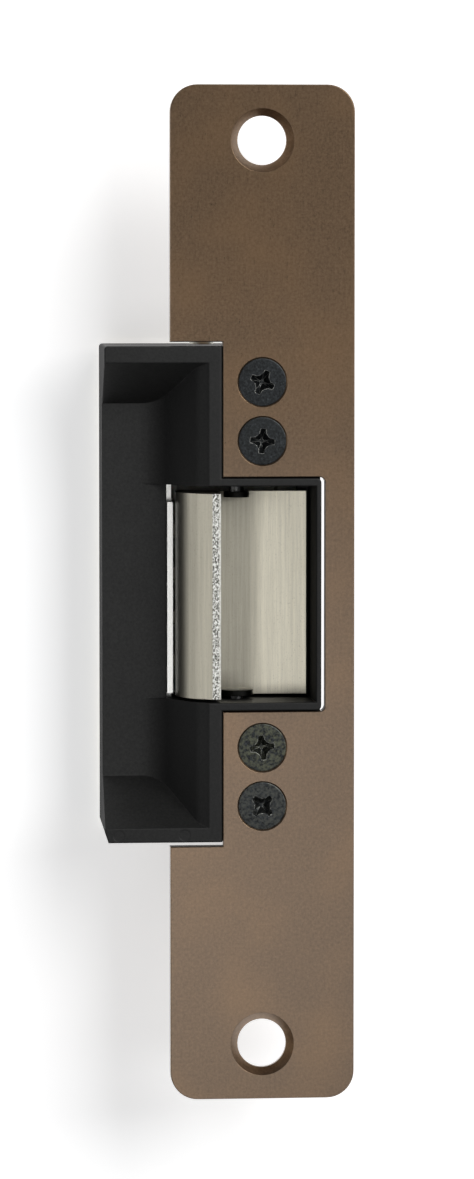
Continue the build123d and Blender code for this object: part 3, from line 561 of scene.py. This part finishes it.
def wound_wire(name, low, high, wire, turns, steps=28, sides=10):
    """A compression spring that fills a box: round wire, with its two ends wound flat."""
    centre = (low + high) / 2
    radius = (high.x - low.x) / 2 - wire
    height = high.z - low.z - 2 * wire
    flat = 0.5 / turns
    count = int(turns * steps)
    path = []
    for index in range(count + 1):
        share = index / count
        rise = min(max((share - flat) / (1 - 2 * flat), 0.0), 1.0)
        angle = 2 * math.pi * turns * share
        out = Vector((math.cos(angle), math.sin(angle), 0.0))
        path.append((Vector((centre.x, centre.y, low.z + wire + height * rise)) + out * radius, out))
    shape = bmesh.new()
    rings = []
    for index, (point, out) in enumerate(path):
        ahead = path[min(index + 1, count)][0] - path[max(index - 1, 0)][0]
        across = ahead.normalized().cross(out)
        ring = []
        for side in range(sides):
            turn = 2 * math.pi * side / sides
            ring.append(shape.verts.new(point + (out * math.cos(turn) + across * math.sin(turn)) * wire))
        rings.append(ring)
    for near, far in zip(rings, rings[1:]):
        for side in range(sides):
            after = (side + 1) % sides
            shape.faces.new((near[side], near[after], far[after], far[side]))
    shape.faces.new(rings[0])
    shape.faces.new(list(reversed(rings[-1])))
    spring = mesh_object(name, shape)
    for polygon in spring.data.polygons:
        polygon.use_smooth = len(polygon.vertices) == 4
    return spring


def screw(name, outline, span, width, depth, turn, place, facing):
    """A cross-recess screw whose head faces along the given direction."""
    piece = mesh_object(name, turned(outline, 48))
    cutter = mesh_object("cutter", cross_cutter(span, width, depth, 0.4 * MM))
    cutter.rotation_euler.z = turn
    cut(piece, cutter)
    spin = Vector(facing).to_track_quat("Z", "Y").to_matrix().to_4x4()
    piece.data.transform(Matrix.Translation(place) @ spin)
    soften(piece, 0.05 * MM)
    return piece


# ---- settings -----------------------------------------------------------------------------


def colour_setting(name, description, default):
    return bpy.props.FloatVectorProperty(
        name=name, description=description, default=default, size=3, min=0.0, max=1.0, subtype="COLOR"
    )


def length_setting(name, description, default):
    return bpy.props.FloatProperty(
        name=name, description=description, default=default, min=0.0, precision=5, unit="LENGTH"
    )


class StrikeColours(bpy.types.PropertyGroup):
    """Base colours of the strike's finishes."""

    bronze: colour_setting("Bronze", "Faceplate colour", (0.18, 0.115, 0.066))
    casting: colour_setting("Casting", "Painted casting colour", (0.0088, 0.0088, 0.0083))
    stainless: colour_setting("Stainless", "Keeper colour", (0.94, 0.885, 0.725))
    ground: colour_setting("Ground steel", "Locking bar colour", (0.97, 0.96, 0.92))
    bright: colour_setting("Bright steel", "Turned pins and plunger colour", (0.62, 0.62, 0.61))
    spring: colour_setting("Spring", "Spring wire colour", (0.36, 0.35, 0.34))
    zinc: colour_setting("Zinc", "Rear cover and solenoid frame colour", (0.50, 0.50, 0.465))
    oxide: colour_setting("Black oxide", "Faceplate screw colour", (0.026, 0.029, 0.031))
    rubber: colour_setting("Rubber", "Grommet and stop pad colour", (0.022, 0.022, 0.022))
    nylon: colour_setting("Nylon", "Bobbin and bar guide colour", (0.74, 0.72, 0.64))
    copper: colour_setting("Copper", "Coil wire colour", (0.55, 0.20, 0.08))
    tape: colour_setting("Tape", "Coil tape colour", (0.50, 0.33, 0.04))
    brass: colour_setting("Brass", "Terminal pin colour", (0.72, 0.55, 0.25))
    floor: colour_setting("Floor", "Floor card colour", (0.90, 0.90, 0.90))


class StrikeSizes(bpy.types.PropertyGroup):
    """Sizes of the screws, the coil wire and the studio."""

    recess_span: length_setting("Recess span", "Cross recess across its wings", 4.3 * MM)
    recess_width: length_setting("Recess width", "Width of one wing of the recess", 1.15 * MM)
    recess_depth: length_setting("Recess depth", "Depth of the cross recess", 1.9 * MM)
    wire_diameter: length_setting("Wire", "Diameter of the coil wire", 0.42 * MM)
    winding_depth: length_setting("Winding depth", "Thickness of the coil's winding", 2.2 * MM)
    spring_wire: length_setting("Spring wire", "Diameter of the return spring's wire", 0.6 * MM)
    camera_distance: length_setting("Camera distance", "From the camera to the faceplate", 0.8963)
    floor_width: length_setting("Floor width", "Side of the square floor card", 2.4)


# ---- operators ----------------------------------------------------------------------------


class STRIKE_OT_castings(bpy.types.Operator):
    """Finishes the faceplate and the cast body"""

    bl_idname = "strike.castings"
    bl_label = "Plate and Body"

    def execute(self, context):
        look = context.scene.strike_colours
        repaint("faceplate", bronze_plate(look))
        repaint("strike_body", black_casting(look))
        return {"FINISHED"}


class STRIKE_OT_keeper(bpy.types.Operator):
    """Finishes the keeper, the locking bar, the pins, springs, plunger and rubber parts"""

    bl_idname = "strike.keeper"
    bl_label = "Keeper and Locking Bar"

    def execute(self, context):
        look = context.scene.strike_colours
        repaint("keeper", brushed_stainless(look))
        repaint("locking_bar", ground_steel(look))
        steel = turned_steel(look)
        for node in ("spring_guide_pin", "plunger", "plunger_pin", "pole_piece"):
            repaint(node, steel)
        # painted shade: the hinge pins and the spring collar are darkened to sit in the dark gap by the
        # keeper's ears
        pins_in_shade = turned_steel(look, "steel_painted_dark", 0.2)
        for node in ("hinge_pin_upper", "hinge_pin_lower", "spring_collar"):
            repaint(node, pins_in_shade)
        wire = spring_wire(look)
        for node in ("hinge_clips", "keeper_spring", "bar_return_spring"):
            repaint(node, wire)
        rubber = moulded_rubber(look)
        repaint("keeper_stop_pad", rubber)
        repaint("wire_grommet", rubber)
        return {"FINISHED"}


class STRIKE_OT_solenoid(bpy.types.Operator):
    """Finishes the solenoid, the rear cover and the bar guide, and winds the coil"""

    bl_idname = "strike.solenoid"
    bl_label = "Solenoid"

    def execute(self, context):
        look = context.scene.strike_colours
        sizes = context.scene.strike_sizes
        zinc = zinc_plate(look)
        repaint("solenoid_frame", zinc)
        repaint("rear_cover", zinc)
        nylon = natural_nylon(look)
        repaint("bobbin", nylon)
        repaint("bar_guide", nylon)
        repaint("coil_wrap", coil_tape(look))
        repaint("coil_terminals", tinned_brass(look))
        low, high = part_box("coil_winding")
        middle = (low + high) / 2
        radius = (high.x - low.x) / 2
        wire = sizes.wire_diameter
        turns = int((high.z - low.z) / wire)
        pitch = (high.z - low.z) / turns
        core = radius - sizes.winding_depth
        outline = [(0, low.z - middle.z), (core, low.z - middle.z)]
        for index in range(turns):
            base = low.z - middle.z + pitch * index
            for step in range(5):
                angle = math.pi * (step / 4 - 0.5)
                bulge = radius - wire / 2 + wire / 2 * math.cos(angle)
                outline.append((bulge, base + pitch / 2 + pitch / 2 * math.sin(angle)))
        outline += [(core, high.z - middle.z), (0, high.z - middle.z)]
        coil = mesh_object("coil_turns", turned(outline, 48))
        hole = core * 0.9
        reach = 50 * MM
        bore = mesh_object("bore", turned([(0, -reach), (hole, -reach), (hole, reach), (0, reach)], 48))
        cut(coil, bore)
        coil.data.transform(Matrix.Translation(middle))
        for polygon in coil.data.polygons:
            polygon.use_smooth = True
        coil.data.set_sharp_from_angle(angle=math.radians(60))
        settle(coil, enamelled_copper(look), "strike")
        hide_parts("coil_winding")
        return {"FINISHED"}


class STRIKE_OT_return_spring(bpy.types.Operator):
    """Winds the locking bar's return spring and gives it a mesh of its own"""

    bl_idname = "strike.return_spring"
    bl_label = "Return Spring"

    def execute(self, context):
        sizes = context.scene.strike_sizes
        low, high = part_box("bar_return_spring")
        spring = wound_wire("return_spring", low, high, sizes.spring_wire / 2, SPRING_TURNS)
        settle(spring, bpy.data.materials["spring_wire"], "strike")
        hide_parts("bar_return_spring")
        keep = 1 - BAR_TRAVEL / (high.z - low.z)
        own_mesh(spring)
        return {"FINISHED"}


class STRIKE_OT_screws(bpy.types.Operator):
    """Makes the faceplate screws, the cover screws and the solenoid screws"""

    bl_idname = "strike.screws"
    bl_label = "Screws"

    def execute(self, context):
        look = context.scene.strike_colours
        sizes = context.scene.strike_sizes
        recess = (sizes.recess_span, sizes.recess_width, sizes.recess_depth)
        self.flat_heads(look, recess)
        self.pan_heads()
        return {"FINISHED"}

    def flat_heads(self, look, recess):
        low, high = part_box("faceplate_screws")
        head = (high.x - low.x) / 2
        shank = 2.08 * MM
        depth = high.y - low.y
        outline = [(0, -depth), (shank * 0.7, -depth), (shank, -depth + 0.5 * MM), (shank, low.y)]
        outline += [(head * 0.995, -0.14 * MM), (head, -0.09 * MM), (head - 0.1 * MM, -0.01 * MM)]
        outline += [(head - 0.25 * MM, 0.0), (0, 0.0)]
        inner = 26.4 * MM
        outer = high.z - head
        # bottom to top: the screw's height, how far its recess is turned, and the colour of its patina
        dressed = (
            (-outer, 45.0, (0.085, 0.088, 0.078)),
            (-inner, 8.0, (0.120, 0.125, 0.085)),
            (inner, -5.0, (0.018, 0.020, 0.020)),
            (outer, -25.0, (0.016, 0.018, 0.019)),
        )
        for index, (z, turn, patina) in enumerate(dressed, start=1):
            place = Vector((0, low.y, z))
            piece = screw(f"faceplate_screw_{index}", outline, *recess, math.radians(turn), place, (0, -1, 0))
            settle(piece, black_oxide(look, f"black_oxide_{index}", patina), "strike")
            if index == 1:
                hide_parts("faceplate_screws")

    def pan_heads(self):
        zinc = bpy.data.materials["zinc_plate"]
        for node, facing in (("cover_screws", (0, 1, 0)), ("solenoid_screws", (0, 0, 1))):
            self.pan_set(node, facing, zinc)

    def pan_set(self, node, facing, zinc):
        along = Vector(facing)
        low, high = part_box(node)
        places = head_places(node, along)
        top = along.dot(high)
        length = top - along.dot(low)
        head_height = 1.15 * MM
        recess_depth = 0.9 * MM
        for index, (place, radius) in enumerate(places):
            shank = radius * 0.54
            outline = [(0, -length), (shank * 0.7, -length), (shank, -length + 0.4 * MM)]
            outline += [(shank, -head_height), (radius, -head_height), (radius, -0.62 * MM)]
            outline += [(radius * 0.93, -0.3 * MM), (radius * 0.75, -0.08 * MM), (radius * 0.45, 0.0), (0, 0.0)]
            name = f"{node[:-1]}_{index + 1}"
            turn = math.radians(17 + 31 * index)
            piece = screw(name, outline, radius * 1.15, radius * 0.3, recess_depth, turn, place, facing)
            settle(piece, zinc, "strike")
            if index == 0:
                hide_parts(node)


def head_places(node, along):
    """The top centre and head radius of each separate screw of a CAD node."""
    shape = bmesh.new()
    shape.from_mesh(frame["nodes"][node].data)
    bmesh.ops.remove_doubles(shape, verts=shape.verts, dist=1e-6)
    left = set(shape.verts)
    found = []
    while left:
        stack = [left.pop()]
        island = []
        while stack:
            vert = stack.pop()
            island.append(vert.co.copy())
            for edge in vert.link_edges:
                other = edge.other_vert(vert)
                if other in left:
                    left.remove(other)
                    stack.append(other)
        low = Vector([min(p[axis] for p in island) for axis in range(3)])
        high = Vector([max(p[axis] for p in island) for axis in range(3)])
        middle = (low + high) / 2
        top = middle + along * (max(along.dot(low), along.dot(high)) - along.dot(middle))
        found.append((top, (high.x - low.x) / 2))
    shape.free()
    return sorted(found, key=lambda item: tuple(item[0]))


class STRIKE_OT_stage(bpy.types.Operator):
    """Sets the floor card, the lights and the camera"""

    bl_idname = "strike.stage"
    bl_label = "Studio"

    def execute(self, context):
        look = context.scene.strike_colours
        sizes = context.scene.strike_sizes
        self.floor(look, sizes.floor_width)
        self.lights(context.scene)
        self.camera(context.scene, sizes.camera_distance)
        context.scene.view_settings.view_transform = "Standard"
        return {"FINISHED"}

    def floor(self, look, width):
        shape = bmesh.new()
        bmesh.ops.create_grid(shape, x_segments=12, y_segments=12, size=width / 2)
        floor = mesh_object("floor", shape)
        floor.data.transform(Matrix.Rotation(math.pi / 2, 4, "X"))
        if floor.data.polygons[0].normal.y > 0:
            floor.data.flip_normals()
        floor.location.y = BACK_Y + 0.1 * MM
        floor.data.materials.append(pale_floor(look))
        floor.visible_shadow = False

    def lights(self, scene):
        world = bpy.data.worlds.new("studio")
        scene.world = world
        world.use_nodes = True
        world.node_tree.nodes["Background"].inputs[0].default_value = (0.95, 0.97, 1.0, 1.0)
        world.node_tree.nodes["Background"].inputs[1].default_value = 0.16
        for name, place, size, power in SOFT_BOXES:
            lamp = bpy.data.lights.new(name, "AREA")
            lamp.shape = "RECTANGLE"
            lamp.size, lamp.size_y = size
            lamp.energy = power
            holder = bpy.data.objects.new(name, lamp)
            holder.location = place
            holder.rotation_euler = (-Vector(place)).to_track_quat("-Z", "Y").to_euler()
            scene.collection.objects.link(holder)

    def camera(self, scene, distance):
        turn = math.radians(CAMERA_TURN)
        drop = math.radians(CAMERA_DROP)
        level = math.cos(drop)
        forward = Vector((math.sin(turn) * level, math.cos(turn) * level, -math.sin(drop)))
        lens = bpy.data.cameras.new("camera")
        lens.lens = CAMERA_LENS
        lens.sensor_width = CAMERA_SENSOR
        lens.clip_end = 20.0
        camera = bpy.data.objects.new("camera", lens)
        camera.location = Vector(CAMERA_AIM) - forward * distance
        camera.rotation_euler = forward.to_track_quat("-Z", "Y").to_euler()
        scene.collection.objects.link(camera)
        scene.camera = camera


# ---- panel and registration ---------------------------------------------------------------

OPERATORS = (
    STRIKE_OT_castings,
    STRIKE_OT_keeper,
    STRIKE_OT_solenoid,
    STRIKE_OT_return_spring,
    STRIKE_OT_screws,
    STRIKE_OT_stage,
)


class STRIKE_PT_panel(bpy.types.Panel):
    """Lists the strike's steps and settings"""

    bl_label = "Electric Door Strike"
    bl_idname = "STRIKE_PT_panel"
    bl_space_type = "VIEW_3D"
    bl_region_type = "UI"
    bl_category = "Strike"

    def draw(self, context):
        for operator in OPERATORS:
            self.layout.operator(operator.bl_idname)
        for group in (context.scene.strike_colours, context.scene.strike_sizes):
            for name in type(group).__annotations__:
                self.layout.prop(group, name)


CLASSES = (StrikeColours, StrikeSizes, *OPERATORS, STRIKE_PT_panel)


def register():
    for item in CLASSES:
        bpy.utils.register_class(item)
    bpy.types.Scene.strike_colours = bpy.props.PointerProperty(type=StrikeColours)
    bpy.types.Scene.strike_sizes = bpy.props.PointerProperty(type=StrikeSizes)


def unregister():
    del bpy.types.Scene.strike_sizes
    del bpy.types.Scene.strike_colours
    for item in reversed(CLASSES):
        bpy.utils.unregister_class(item)


def main():
    register()
    bpy.ops.strike.castings()
    bpy.ops.strike.keeper()
    bpy.ops.strike.solenoid()
    bpy.ops.strike.return_spring()
    bpy.ops.strike.screws()
    bpy.ops.strike.stage()


if __name__ == "__main__":
    main()
